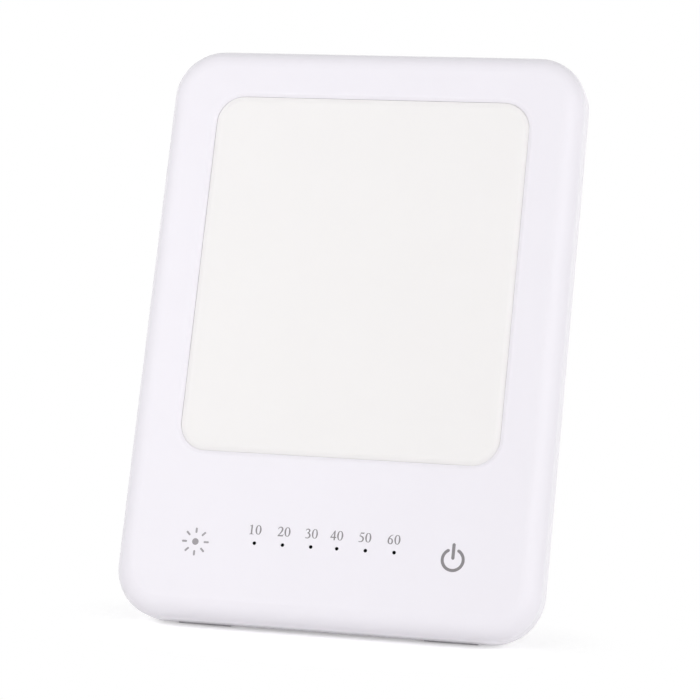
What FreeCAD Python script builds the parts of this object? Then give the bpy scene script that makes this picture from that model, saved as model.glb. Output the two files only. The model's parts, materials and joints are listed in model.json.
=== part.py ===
import FreeCAD, Part
import os

import Sketcher

# Light therapy lamp: a slim panel that leans back on a fold-out leg.
#
# Every piece of the panel is drawn in the panel's own frame: X to the right as seen from the
# front, Y up the panel from its lower edge, and Z from the back plane (0) to the front face.
# PANEL leans that frame back and sets the lamp on the ground. The leg is drawn about its hinge.

Vector = FreeCAD.Vector
Rotation = FreeCAD.Rotation
Placement = FreeCAD.Placement

os.makedirs("parts", exist_ok=True)
doc = FreeCAD.newDocument("light_therapy_lamp")
sheet = doc.addObject("Spreadsheet::Sheet", "Dims")

# alias, millimetres (or degrees, or a count), meaning
DIMENSIONS = [
    ("lean", 23.56, "angle of the panel from upright, degrees"),
    ("open_angle", 32.0, "angle of the leg from the panel at its stop, degrees"),
    ("panel_width", 175.0, "casing, side to side"),
    ("panel_height", 240.1, "casing, lower edge to upper edge"),
    ("panel_depth", 18.0, "casing, back plane to front face"),
    ("corner_round", 20.5, "casing corners seen from the front"),
    ("front_round", 8.1, "rounding of the front edge"),
    ("rear_round", 3.5, "rounding of the rear edge"),
    ("parting", 4.0, "height of the joint between the two shells"),
    ("seam_bevel", 0.25, "bevel of both shells at their joint"),
    ("wall", 2.2, "casing wall"),
    ("tongue_height", 2.0, "rear shell's rim inside the front shell"),
    ("tongue_wall", 1.2, "thickness of that rim"),
    ("slip", 0.1, "clearance of pieces that slide together"),
    ("window_width", 132.5, "window, side to side"),
    ("window_height", 150.5, "window, bottom to top"),
    ("window_low", 68.5, "window's lower edge"),
    ("window_round", 11.4, "window corners"),
    ("lip", 1.4, "thickness of the front face round the window"),
    ("lip_cover", 3.25, "how far the lip covers the diffuser"),
    ("lip_slope", 1.3, "width of the slope on the lip's front edge"),
    ("lip_drop", 1.0, "how far that slope falls"),
    ("lip_blend", 1.5, "rounding between the face and that slope"),
    ("optics_round", 4.0, "corners of the sheets behind the window"),
    ("optics_gap", 0.25, "clearance round those sheets"),
    ("seal", 0.3, "foam seal thickness"),
    ("seal_setback", 0.4, "seal's inner edge behind the lip's edge"),
    ("diffuser", 2.0, "thickness of the diffuser's flange, which the lip covers"),
    ("diffuser_step", 0.2, "front of the diffuser's middle below the face"),
    ("diffuser_joint", 0.12, "gap between that middle and the lip"),
    ("diffuser_slope", 1.8, "width of the slope round the diffuser's middle"),
    ("diffuser_drop", 1.05, "how far that slope falls"),
    ("diffuser_blend", 2.6, "rounding between the diffuser's front and that slope"),
    ("guide", 3.0, "light guide thickness"),
    ("reflector", 0.3, "reflector sheet thickness"),
    ("tray", 1.0, "tray sheet thickness"),
    ("tray_side", 2.1, "room for the LED strips beside the light guide"),
    ("tray_rim", 3.1, "height of the tray's folded rims"),
    ("tray_corner_gap", 10.0, "open corners of the tray, where the leads pass"),
    ("ear_width", 10.0, "tray's screw ears"),
    ("ear_length", 7.0, "reach of those ears"),
    ("ear_x", 40.0, "place of those ears"),
    ("strip_board", 1.0, "LED strip board thickness"),
    ("strip_width", 3.0, "LED strip board width"),
    ("strip_end", 1.0, "strip ends inside the tray"),
    ("led_rise", 0.8, "LED height above its strip"),
    ("led_length", 3.5, "LED along its strip"),
    ("led_width", 2.0, "LED across its strip"),
    ("led_pitch", 12.6, "LED spacing"),
    ("led_count", 12, "LEDs on each strip"),
    ("led_first", 70.0, "lower end of the first LED"),
    ("board_width", 140.0, "main board, side to side"),
    ("board_height", 46.0, "main board, bottom to top"),
    ("board_low", 10.0, "main board's lower edge"),
    ("board_back", 10.6, "main board's rear face"),
    ("board", 1.6, "main board thickness"),
    ("board_screw_x", 64.0, "main board's screws"),
    ("board_screw_low", 14.0, "lower pair of those screws"),
    ("board_screw_high", 51.0, "upper pair of those screws"),
    ("boss_round", 2.5, "radius of the small screw bosses"),
    ("pilot", 0.9, "radius of the small pilot holes"),
    ("pilot_depth", 4.5, "depth of those holes in the casing"),
    ("boss_sink", 0.4, "how far the bosses run into the face"),
    ("screw", 0.85, "radius of the small screws"),
    ("screw_length", 5.0, "length of the small screws under the head"),
    ("screw_hole", 1.0, "radius of clearance holes for them"),
    ("screw_head", 1.8, "radius of their heads"),
    ("screw_head_rise", 1.2, "height of their heads"),
    ("screw_slot", 0.5, "width and depth of the driver cross"),
    ("indicator_y", 31.9, "row of indicator dots"),
    ("indicator_left", 29.4, "first dot, left of the middle"),
    ("indicator_right", 4.7, "fourth dot, right of the middle"),
    ("indicator_pitch", 11.7, "spacing of the dots in each group of three"),
    ("light_pipe", 0.7, "radius of a light pipe"),
    ("pipe_slip", 0.05, "clearance round it"),
    ("pipe_sink", 0.1, "how far its tip stays below the face"),
    ("pipe_bar", 2.0, "thickness of the bar that joins the pipes"),
    ("pipe_bar_width", 3.2, "width of that bar"),
    ("pipe_bar_end", 2.4, "bar beyond the outer pipes"),
    ("key_left_x", 54.0, "brightness key, left of the middle"),
    ("key_left_y", 31.0, "brightness key's height"),
    ("key_right_x", 52.0, "power key, right of the middle"),
    ("key_right_y", 31.5, "power key's height"),
    ("spring_round", 3.7, "touch spring's mean radius"),
    ("spring_wire", 0.25, "radius of its wire"),
    ("spring_turns", 3.0, "turns of the spring"),
    ("case_screw_x", 76.0, "corner screws of the casing"),
    ("case_screw_inset", 11.5, "those screws from the lower and upper edges"),
    ("case_screw_middle", 80.0, "middle screws of the casing"),
    ("case_boss", 3.25, "radius of the casing's screw bosses"),
    ("case_pilot", 1.25, "radius of their pilot holes"),
    ("case_pilot_depth", 8.0, "depth of those holes"),
    ("case_screw", 1.2, "radius of the casing screws"),
    ("case_screw_length", 10.0, "length under the head"),
    ("case_head", 2.6, "radius of their heads"),
    ("case_head_rise", 1.8, "height of their heads"),
    ("case_seat", 3.4, "depth of the sunk screw seats"),
    ("case_seat_round", 2.9, "radius of those seats"),
    ("case_seat_boss", 4.1, "outside radius of those seats"),
    ("case_seat_top", 5.9, "height of the seats inside the cover"),
    ("case_hole", 1.6, "radius of the holes through the seats"),
    ("hinge_up", 150.0, "hinge axis, up the panel"),
    ("hinge_level", 4.2, "hinge axis above the back plane"),
    ("pin", 1.5, "hinge pin radius"),
    ("pin_run", 0.05, "running clearance of the pin in the cover"),
    ("pin_reach", 33.8, "half length of the pin"),
    ("barrel", 3.3, "radius of the leg's barrel"),
    ("leg_width", 52.0, "leg, side to side"),
    ("leg_thickness", 4.6, "leg thickness"),
    ("leg_outside", 3.9, "leg's outer face from the hinge axis"),
    ("leg_round", 8.0, "leg's lower corners"),
    ("leg_edge", 0.8, "rounding of the leg's outer edges"),
    ("leg_hollow", 1.6, "depth of the hollows inside the leg"),
    ("hollow_width", 12.0, "width of each hollow"),
    ("hollow_pitch", 15.0, "spacing of the hollows"),
    ("hollow_top", 12.0, "upper end of the hollows below the hinge"),
    ("hollow_length", 112.0, "length of the hollows"),
    ("stop_reach", 5.0, "stop face of the leg's heel from the hinge axis"),
    ("stop_low", 1.45, "outer end of that face"),
    ("stop_high", 0.6, "inner end of that face"),
    ("stop_gap", 0.3, "gap between the heel and the recess at the stop"),
    ("recess_gap", 0.6, "gap beside the folded leg"),
    ("recess_depth", 6.2, "depth of the recess"),
    ("recess_low", 8.2, "recess's lower end"),
    ("recess_wall", 1.6, "wall of the recess"),
    ("hinge_room", 0.4, "gap round the barrel"),
    ("notch_y", 30.0, "finger notch, up the panel"),
    ("notch_round", 11.0, "radius of the finger notch"),
    ("saddle_end", 35.0, "outer end of the pin's saddles"),
    ("saddle_half", 9.0, "half length of the saddles, up the panel"),
    ("saddle_top", 6.6, "top of the saddles"),
    ("saddle_floor", 0.4, "saddle left under its pilot holes"),
    ("cap", 1.8, "hinge cap thickness"),
    ("cap_screw_x", 31.4, "hinge cap screws"),
    ("cap_screw_off", 5.8, "those screws above and below the pin"),
    ("cap_stop", 1.0, "cap's end stop"),
    ("cap_screw_length", 5.4, "length of those screws under the head"),
    ("washer", 0.4, "friction washer thickness"),
    ("washer_round", 3.0, "friction washer radius"),
    ("pad", 1.6, "leg's rubber pad, thickness"),
    ("pad_width", 34.0, "leg's rubber pad, side to side"),
    ("pad_inset", 0.3, "pad inside the leg's faces"),
    ("rib", 1.6, "width and height of the pad's rib"),
    ("foot_proud", 0.5, "base feet stand out of the casing"),
    ("foot_sunk", 1.0, "base feet sunk in the casing"),
    ("foot_fore", 0.3, "base foot in front of the casing's lowest line"),
    ("foot_aft", 2.4, "base foot behind that line"),
    ("foot_length", 22.0, "base foot, side to side"),
    ("foot_x", 40.0, "base foot's inner end"),
    ("vent_width", 60.0, "vent slot length"),
    ("vent", 2.0, "vent slot width"),
    ("vent_low", 178.0, "lowest vent slot"),
    ("vent_pitch", 5.5, "vent slot spacing"),
    ("vent_count", 6, "vent slots"),
    ("jack_x", 64.5, "power inlet, right of the middle"),
    ("jack_y", 30.0, "power inlet, up the panel"),
    ("jack_body", 9.0, "inlet housing, square"),
    ("jack_collar", 4.3, "radius of the inlet's round collar"),
    ("jack_collar_base", 2.6, "where the collar meets the square housing"),
    ("jack_mouth", 0.6, "inlet's mouth inside the back plane"),
    ("jack_bore", 3.1, "radius of the inlet's bore"),
    ("jack_floor", 9.8, "floor of that bore"),
    ("jack_hole", 4.5, "radius of the hole in the rear cover"),
    ("jack_pin", 1.05, "radius of the centre pin"),
    ("jack_pin_base", 1.6, "radius of the pin's base"),
    ("jack_pin_tip", 1.4, "tip of the pin from the back plane"),
    ("capacitor", 4.0, "capacitor radius"),
    ("capacitor_rise", 6.0, "capacitor height"),
    ("capacitor_x", 46.0, "first capacitor, left of the middle"),
    ("capacitor_pitch", 11.0, "second capacitor beyond it"),
    ("capacitor_y", 46.0, "capacitors, up the panel"),
    ("inductor", 10.0, "inductor, square"),
    ("inductor_rise", 4.0, "inductor height"),
    ("inductor_x", 50.0, "inductor, left of the middle"),
    ("inductor_y", 28.0, "inductor, up the panel"),
    ("chip_width", 5.0, "driver chip, side to side"),
    ("chip_height", 4.0, "driver chip, bottom to top"),
    ("chip_rise", 1.6, "driver chip thickness"),
    ("chip_x", 20.0, "driver chip, left of the middle"),
    ("chip_y", 26.0, "driver chip, up the panel"),
    ("connector_x", 57.0, "lead connectors"),
    ("connector_y", 50.5, "lead connectors, up the panel"),
    ("connector_width", 6.0, "lead connector, side to side"),
    ("connector_height", 4.0, "lead connector, bottom to top"),
    ("connector_rise", 2.8, "lead connector thickness"),
    ("lead", 0.45, "lead radius"),
    ("lead_level", 13.0, "leads above the back plane"),
    ("lead_bend", 3.0, "bends of the leads"),
    ("lead_run", 59.0, "where the leads run sideways"),
    ("small_led_width", 1.6, "indicator LED, side to side"),
    ("small_led_height", 1.2, "indicator LED, bottom to top"),
    ("small_led_rise", 0.8, "indicator LED thickness"),
]


def fill_sheet():
    """Write the dimensions, one a row: name, number with its alias, meaning."""
    for row, (alias, number, meaning) in enumerate(DIMENSIONS, start=1):
        sheet.set(f"A{row}", alias)
        sheet.set(f"B{row}", str(number))
        sheet.setAlias(f"B{row}", alias)
        sheet.set(f"C{row}", meaning)
    doc.recompute()


fill_sheet()


def value(expression):
    """The number that an expression over the sheet gives."""
    return float(sheet.evalExpression(expression))


# Heights above the back plane, front to back.
INNER_FACE = "(Dims.panel_depth - Dims.wall)"
LIP_BACK = "(Dims.panel_depth - Dims.lip)"
DIFFUSER_FRONT = f"({LIP_BACK} - Dims.seal)"
DIFFUSER_MIDDLE = "(Dims.panel_depth - Dims.diffuser_step)"
GUIDE_FRONT = f"({DIFFUSER_FRONT} - Dims.diffuser)"
REFLECTOR_FRONT = f"({GUIDE_FRONT} - Dims.guide)"
TRAY_FRONT = f"({REFLECTOR_FRONT} - Dims.reflector)"
TRAY_BACK = f"({TRAY_FRONT} - Dims.tray)"
BOARD_FRONT = "(Dims.board_back + Dims.board)"
BOSS_ROOT = f"({INNER_FACE} + Dims.boss_sink)"
TONGUE_TOP = "(Dims.parting + Dims.tongue_height)"

# The sheets behind the window.
OPTICS_WIDTH = "(Dims.window_width + 2 * Dims.lip_cover)"
OPTICS_HEIGHT = "(Dims.window_height + 2 * Dims.lip_cover)"
OPTICS_LOW = "(Dims.window_low - Dims.lip_cover)"
TRAY_HALF = f"({OPTICS_WIDTH} / 2 + Dims.tray_side + Dims.tray)"
TRAY_LOW = f"({OPTICS_LOW} - Dims.tray)"
TRAY_HEIGHT = f"({OPTICS_HEIGHT} + 2 * Dims.tray)"

# The hinge's height above the ground, and the leg's angle from upright.
HINGE_HEIGHT = (
    "((Dims.hinge_up - Dims.rear_round) * cos(Dims.lean)"
    " + (Dims.hinge_level - Dims.rear_round) * sin(Dims.lean)"
    " + Dims.rear_round + Dims.foot_proud)"
)
LEG_SLANT = "(Dims.open_angle - Dims.lean)"
RECESS_TOP = "(Dims.hinge_up + Dims.stop_reach + Dims.stop_gap)"
HINGE_FLOOR = "(Dims.hinge_level + Dims.barrel + Dims.hinge_room)"


def panel_placement():
    """Lean the panel's frame back, with the ground at 0 and the lamp's box centred over the origin."""
    lean_sine = value("sin(Dims.lean)")
    lean_cosine = value("cos(Dims.lean)")
    rear = value("Dims.rear_round")
    front = value("Dims.front_round")
    front_edge = front * lean_sine - (value("Dims.panel_depth") - front) * lean_cosine - front
    rear_edge = (value("Dims.panel_height") - rear) * lean_sine - rear * lean_cosine + rear
    ground = rear * (lean_sine + lean_cosine - 1) - value("Dims.foot_proud")
    middle = (front_edge + rear_edge) / 2
    turn = Rotation(Vector(1, 0, 0), 90 - value("Dims.lean"))
    return Placement(Vector(0, -middle, -ground), turn)


PANEL = panel_placement()
HINGE = Placement(
    Vector(0, value("Dims.hinge_up"), value("Dims.hinge_level")),
    Rotation(Vector(1, 0, 0), value("Dims.open_angle")),
)
LEG = PANEL * HINGE

subparts = []


# ---- sketches ----------------------------------------------------------------------------------


def new_body(label, placement=PANEL):
    """An empty body that becomes the sub-part of that name."""
    body = doc.addObject("PartDesign::Body", label)
    body.Label = label
    body.AllowCompound = True
    body.Placement = placement
    subparts.append(body)
    return body


def sketch_on(body, role, level="0"):
    """A sketch on one of the body's own planes, moved along its normal by level."""
    plane = next(f for f in body.Origin.OriginFeatures if f.Role == role)
    sketch = body.newObject("Sketcher::SketchObject", body.Label + "_sketch")
    sketch.AttachmentSupport = [(plane, "")]
    sketch.MapMode = "FlatFace"
    sketch.setExpression("AttachmentOffset.Base.z", level)
    return sketch


def fix(sketch, kind, *items):
    """Add a constraint whose number follows an expression, which is the last item."""
    *places, expression = items
    index = sketch.addConstraint(Sketcher.Constraint(kind, *places, value(expression)))
    name = f"{kind.lower()}_{index}"
    sketch.renameConstraint(index, name)
    sketch.setExpression("Constraints." + name, expression)


def circle(sketch, x, y, radius):
    """A circle about (x, y)."""
    shape = Part.Circle(Vector(value(x), value(y), 0), Vector(0, 0, 1), value(radius))
    index = sketch.addGeometry(shape, False)
    fix(sketch, "Radius", index, radius)
    fix(sketch, "DistanceX", -1, 1, index, 3, x)
    fix(sketch, "DistanceY", -1, 1, index, 3, y)


def circle_pair(sketch, x, y, radius):
    """Two circles, one each side of the middle."""
    for side in ("", "-"):
        circle(sketch, f"{side}({x})", y, radius)


def polygon(sketch, corners):
    """A closed polygon through the corners, each given as two expressions."""
    points = [Vector(value(x), value(y), 0) for x, y in corners]
    count = len(points)
    lines = []
    for index, point in enumerate(points):
        segment = Part.LineSegment(point, points[(index + 1) % count])
        lines.append(sketch.addGeometry(segment, False))
    for index, line in enumerate(lines):
        following = lines[(index + 1) % count]
        sketch.addConstraint(Sketcher.Constraint("Coincident", line, 2, following, 1))
        fix(sketch, "DistanceX", -1, 1, line, 1, corners[index][0])
        fix(sketch, "DistanceY", -1, 1, line, 1, corners[index][1])


def rectangle(sketch, left, right, low, high):
    """A rectangle between four lines."""
    polygon(sketch, [(left, low), (right, low), (right, high), (left, high)])


def rectangle_pair(sketch, inner, outer, low, high):
    """Two rectangles, one each side of the middle."""
    rectangle(sketch, inner, outer, low, high)
    rectangle(sketch, f"-({outer})", f"-({inner})", low, high)


def rounded_rectangle(sketch, width, height, low, radius):
    """A rectangle with round corners, centred side to side."""
    half, top, bottom, turn = (value(e) for e in (f"{width} / 2", f"{low} + {height}", low, radius))
    normal = Vector(0, 0, 1)
    corners = [
        (half - turn, bottom + turn, -90),
        (half - turn, top - turn, 0),
        (turn - half, top - turn, 90),
        (turn - half, bottom + turn, 180),
    ]
    arcs = []
    for x, y, start in corners:
        full = Part.Circle(Vector(x, y, 0), normal, turn)
        begin, end = (FreeCAD.Units.Quantity(a, FreeCAD.Units.Angle).getValueAs("rad").Value
                      for a in (start, start + 90))
        arcs.append(sketch.addGeometry(Part.ArcOfCircle(full, begin, end), False))
    lines = []
    for index, arc in enumerate(arcs):
        here = sketch.Geometry[arc].EndPoint
        there = sketch.Geometry[arcs[(index + 1) % 4]].StartPoint
        lines.append(sketch.addGeometry(Part.LineSegment(here, there), False))
    for index, arc in enumerate(arcs):
        following = arcs[(index + 1) % 4]
        sketch.addConstraint(Sketcher.Constraint("Tangent", arc, 2, lines[index], 1))
        sketch.addConstraint(Sketcher.Constraint("Tangent", lines[index], 2, following, 1))
    right, upper, left, lower = lines
    sketch.addConstraint(Sketcher.Constraint("Vertical", right))
    sketch.addConstraint(Sketcher.Constraint("Vertical", left))
    sketch.addConstraint(Sketcher.Constraint("Horizontal", upper))
    sketch.addConstraint(Sketcher.Constraint("Symmetric", lower, 1, lower, 2, -2))
    for arc in arcs[1:]:
        sketch.addConstraint(Sketcher.Constraint("Equal", arcs[0], arc))
    fix(sketch, "Radius", arcs[0], radius)
    fix(sketch, "DistanceX", left, 1, right, 1, width)
    fix(sketch, "DistanceY", -1, 1, lower, 1, low)
    fix(sketch, "DistanceY", lower, 1, upper, 1, height)


def tongue_outline(sketch, half, low, high, radius):
    """A straight-sided tongue, square at the top and with round lower corners."""
    h, bottom, top, turn = (value(e) for e in (half, low, high, radius))
    normal = Vector(0, 0, 1)
    lower_right = Part.Circle(Vector(h - turn, bottom + turn, 0), normal, turn)
    lower_left = Part.Circle(Vector(turn - h, bottom + turn, 0), normal, turn)
    quarter = value("pi / 2")
    right_arc = sketch.addGeometry(Part.ArcOfCircle(lower_right, -quarter, 0), False)
    left_arc = sketch.addGeometry(Part.ArcOfCircle(lower_left, 2 * quarter, 3 * quarter), False)
    path = [
        (Vector(h, bottom + turn, 0), Vector(h, top, 0)),
        (Vector(h, top, 0), Vector(-h, top, 0)),
        (Vector(-h, top, 0), Vector(-h, bottom + turn, 0)),
        (Vector(turn - h, bottom, 0), Vector(h - turn, bottom, 0)),
    ]
    right, upper, left, lower = (
        sketch.addGeometry(Part.LineSegment(start, end), False) for start, end in path
    )
    sketch.addConstraint(Sketcher.Constraint("Tangent", right_arc, 2, right, 1))
    sketch.addConstraint(Sketcher.Constraint("Coincident", right, 2, upper, 1))
    sketch.addConstraint(Sketcher.Constraint("Coincident", upper, 2, left, 1))
    sketch.addConstraint(Sketcher.Constraint("Tangent", left, 2, left_arc, 1))
    sketch.addConstraint(Sketcher.Constraint("Tangent", left_arc, 2, lower, 1))
    sketch.addConstraint(Sketcher.Constraint("Tangent", lower, 2, right_arc, 1))
    sketch.addConstraint(Sketcher.Constraint("Vertical", right))
    sketch.addConstraint(Sketcher.Constraint("Vertical", left))
    sketch.addConstraint(Sketcher.Constraint("Horizontal", lower))
    sketch.addConstraint(Sketcher.Constraint("Symmetric", upper, 1, upper, 2, -2))
    sketch.addConstraint(Sketcher.Constraint("Equal", right_arc, left_arc))
    fix(sketch, "Radius", right_arc, radius)
    fix(sketch, "DistanceX", upper, 2, upper, 1, f"2 * ({half})")
    fix(sketch, "DistanceY", -1, 1, upper, 1, high)
    fix(sketch, "DistanceY", -1, 1, lower, 1, low)


# ---- features ----------------------------------------------------------------------------------


def pad(body, sketch, height, symmetric=False):
    """Add material from the sketch along its normal."""
    feature = body.newObject("PartDesign::Pad", body.Label + "_pad")
    feature.Profile = sketch
    feature.SideType = "Symmetric" if symmetric else "One side"
    feature.setExpression("Length", height)
    doc.recompute()
    return feature


def pocket(body, sketch, depth, symmetric=False):
    """Remove material from the sketch along its normal, and see that some went."""
    before = body.Shape.Volume
    feature = body.newObject("PartDesign::Pocket", body.Label + "_pocket")
    feature.Profile = sketch
    feature.SideType = "Symmetric" if symmetric else "One side"
    feature.Reversed = not symmetric
    feature.setExpression("Length", depth)
    doc.recompute()
    if body.Shape.Volume > before - 1e-3:
        raise RuntimeError(f"{feature.Label} removes nothing")
    return feature


def soften(body, kind, size, chosen):
    """Round (Fillet) or bevel (Chamfer) the edges that chosen picks."""
    base = body.Tip
    names = [f"Edge{n}" for n, edge in enumerate(base.Shape.Edges, start=1) if chosen(edge)]
    if not names:
        raise RuntimeError(f"{body.Label} has no edge to soften")
    feature = body.newObject("PartDesign::" + kind, body.Label + "_" + kind.lower())
    feature.Base = (base, names)
    feature.setExpression("Radius" if kind == "Fillet" else "Size", size)
    doc.recompute()
    return feature


def slope_edges(body, width, drop, blend, level, reach=None):
    """Slope the edges at a height down over a width, and round the slope into the face.

    The rim of a hole needs a reach, and the rim of a plate has none.
    """
    feature = soften(body, "Chamfer", width, at_level(level, reach))
    feature.ChamferType = "Two distances"
    feature.FlipDirection = reach is None
    feature.setExpression("Size2", drop)
    doc.recompute()
    wider = f"{reach} + {width}" if reach else None
    soften(body, "Fillet", blend, at_level(level, wider))


def at_level(level, reach=None):
    """Picks the edges that lie at a height, or of those the ones within reach of the middle."""
    height = value(level)
    furthest = value(reach) if reach else None

    def chosen(edge):
        box = edge.BoundBox
        flat = abs(box.ZMin - height) < 1e-4 and abs(box.ZMax - height) < 1e-4
        return flat and (furthest is None or max(-box.XMin, box.XMax) < furthest)

    return chosen


def casing_edge(level):
    """Picks the edges at a height that lie on the casing's outside."""
    half = value("Dims.panel_width / 2") - 1e-4
    high = value("Dims.panel_height") - 1e-4

    def chosen(edge):
        box = edge.BoundBox
        outside = max(box.XMax, -box.XMin) > half or box.YMin < 1e-4 or box.YMax > high
        return outside and at_level(level)(edge)

    return chosen


def hollow_out(body, level, wall):
    """Open the solid at the flat face at a height and leave a wall everywhere else."""
    base = body.Tip
    height = value(level)
    faces = [f"Face{n}" for n, face in enumerate(base.Shape.Faces, start=1)
             if abs(face.BoundBox.ZMax - height) < 1e-4]
    feature = body.newObject("PartDesign::Thickness", body.Label + "_thickness")
    feature.Base = (base, faces)
    feature.Reversed = True
    feature.setExpression("Value", wall)
    doc.recompute()
    return feature


def repeat(body, feature, axis_role, spacing, count):
    """Repeat a feature along one of the body's axes."""
    axis = next(f for f in body.Origin.OriginFeatures if f.Role == axis_role)
    pattern = body.newObject("PartDesign::LinearPattern", body.Label + "_pattern")
    pattern.Originals = [feature]
    pattern.Direction = (axis, [""])
    pattern.Mode = "Spacing"
    pattern.setExpression("Offset", spacing)
    pattern.setExpression("Occurrences", count)
    body.Tip = pattern
    doc.recompute()
    return pattern


def slab(label, draw, level, thickness, placement=PANEL):
    """A body that is one pad: draw fills its sketch, which lies at level."""
    body = new_body(label, placement)
    sketch = sketch_on(body, "XY_Plane", level)
    draw(sketch)
    pad(body, sketch, thickness)
    return body


def add(body, draw, level, thickness):
    """One more pad on a body."""
    sketch = sketch_on(body, "XY_Plane", level)
    draw(sketch)
    return pad(body, sketch, thickness)


def cut(body, draw, level, depth):
    """One more pocket in a body."""
    sketch = sketch_on(body, "XY_Plane", level)
    draw(sketch)
    return pocket(body, sketch, depth)


# ---- places that several pieces share -----------------------------------------------------------


def case_screw_circles(sketch, radius):
    """A circle at each casing screw."""
    circle_pair(sketch, "Dims.case_screw_x", "Dims.case_screw_inset", radius)
    circle_pair(sketch, "Dims.case_screw_middle", "Dims.panel_height / 2", radius)
    circle_pair(sketch, "Dims.case_screw_x", "Dims.panel_height - Dims.case_screw_inset", radius)


def tray_screw_circles(sketch, radius):
    """A circle at each tray screw, in the middle of the tray's ears."""
    circle_pair(sketch, "Dims.ear_x", f"{TRAY_LOW} - Dims.ear_length / 2", radius)
    circle_pair(sketch, "Dims.ear_x", f"{TRAY_LOW} + {TRAY_HEIGHT} + Dims.ear_length / 2", radius)


def board_screw_circles(sketch, radius):
    """A circle at each screw of the main board."""
    circle_pair(sketch, "Dims.board_screw_x", "Dims.board_screw_low", radius)
    circle_pair(sketch, "Dims.board_screw_x", "Dims.board_screw_high", radius)


def cap_screw_circles(sketch, radius):
    """A circle at each screw of the hinge caps."""
    for side in ("-", "+"):
        circle_pair(sketch, "Dims.cap_screw_x", f"Dims.hinge_up {side} Dims.cap_screw_off", radius)


def indicator_places():
    """The indicators' places from left to right, in two groups of three."""
    left = [f"-Dims.indicator_left + {n} * Dims.indicator_pitch" for n in range(3)]
    right = [f"Dims.indicator_right + {n} * Dims.indicator_pitch" for n in range(3)]
    return left + right


def indicator_circles(sketch, radius):
    """A circle at each indicator."""
    for x in indicator_places():
        circle(sketch, x, "Dims.indicator_y", radius)


def casing_outline(sketch, inset):
    """The casing's outline, moved inwards."""
    rounded_rectangle(
        sketch,
        f"(Dims.panel_width - 2 * ({inset}))",
        f"(Dims.panel_height - 2 * ({inset}))",
        f"({inset})",
        f"(Dims.corner_round - ({inset}))",
    )


def optics_outline(sketch, margin="0"):
    """The outline of the sheets behind the window, moved outwards by margin."""
    rounded_rectangle(
        sketch,
        f"({OPTICS_WIDTH} + 2 * {margin})",
        f"({OPTICS_HEIGHT} + 2 * {margin})",
        f"({OPTICS_LOW} - {margin})",
        f"(Dims.optics_round + {margin})",
    )


def window_outline(sketch, margin="0"):
    """The window's outline, moved outwards by margin."""
    rounded_rectangle(
        sketch,
        f"(Dims.window_width + 2 * {margin})",
        f"(Dims.window_height + 2 * {margin})",
        f"(Dims.window_low - {margin})",
        f"(Dims.window_round + {margin})",
    )


# ---- casing ------------------------------------------------------------------------------------


def front_bezel():
    """Front shell: face, window with its lip, side walls and screw bosses."""
    body = slab("front_bezel", lambda s: casing_outline(s, "0"), "Dims.parting",
                "Dims.panel_depth - Dims.parting")
    soften(body, "Fillet", "Dims.front_round", at_level("Dims.panel_depth"))
    hollow_out(body, "Dims.parting", "Dims.wall")
    soften(body, "Chamfer", "Dims.seam_bevel", casing_edge("Dims.parting"))
    for circles, radius, hole, start, hole_depth in (
        (case_screw_circles, "Dims.case_boss", "Dims.case_pilot", TONGUE_TOP, "Dims.case_pilot_depth"),
        (tray_screw_circles, "Dims.boss_round", "Dims.pilot", TRAY_FRONT, "Dims.pilot_depth"),
        (board_screw_circles, "Dims.boss_round", "Dims.pilot", BOARD_FRONT, "Dims.pilot_depth"),
    ):
        add(body, lambda s: circles(s, radius), start, f"{BOSS_ROOT} - {start}")
        cut(body, lambda s: circles(s, hole), start, hole_depth)
    cut(body, lambda s: optics_outline(s, "Dims.optics_gap"), INNER_FACE, "Dims.wall - Dims.lip")
    cut(body, window_outline, LIP_BACK, "Dims.lip")
    slope_edges(body, "Dims.lip_slope", "Dims.lip_drop", "Dims.lip_blend", "Dims.panel_depth",
                "Dims.window_width / 2 + Dims.lip")
    cut(body, lambda s: indicator_circles(s, "Dims.light_pipe + Dims.pipe_slip"), INNER_FACE,
        "Dims.wall")


def recess_outline(sketch, margin="0"):
    """The outline of the leg's recess, moved outwards by margin."""
    tongue_outline(
        sketch,
        f"Dims.leg_width / 2 + Dims.recess_gap + {margin}",
        f"Dims.recess_low - {margin}",
        f"{RECESS_TOP} + {margin}",
        f"Dims.leg_round + Dims.recess_gap + {margin}",
    )


def hinge_outline(sketch, margin="0"):
    """The deeper end of the recess, round the leg's barrel."""
    half = f"Dims.leg_width / 2 + Dims.recess_gap + {margin}"
    low = f"Dims.hinge_up - Dims.barrel - 2 * Dims.hinge_room - {margin}"
    rectangle(sketch, f"-({half})", half, low, f"{RECESS_TOP} + {margin}")


def notch_circle(sketch, margin="0"):
    """The finger notch beside the leg."""
    circle(sketch, "Dims.leg_width / 2 + Dims.recess_gap", "Dims.notch_y",
           f"Dims.notch_round + {margin}")


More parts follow.
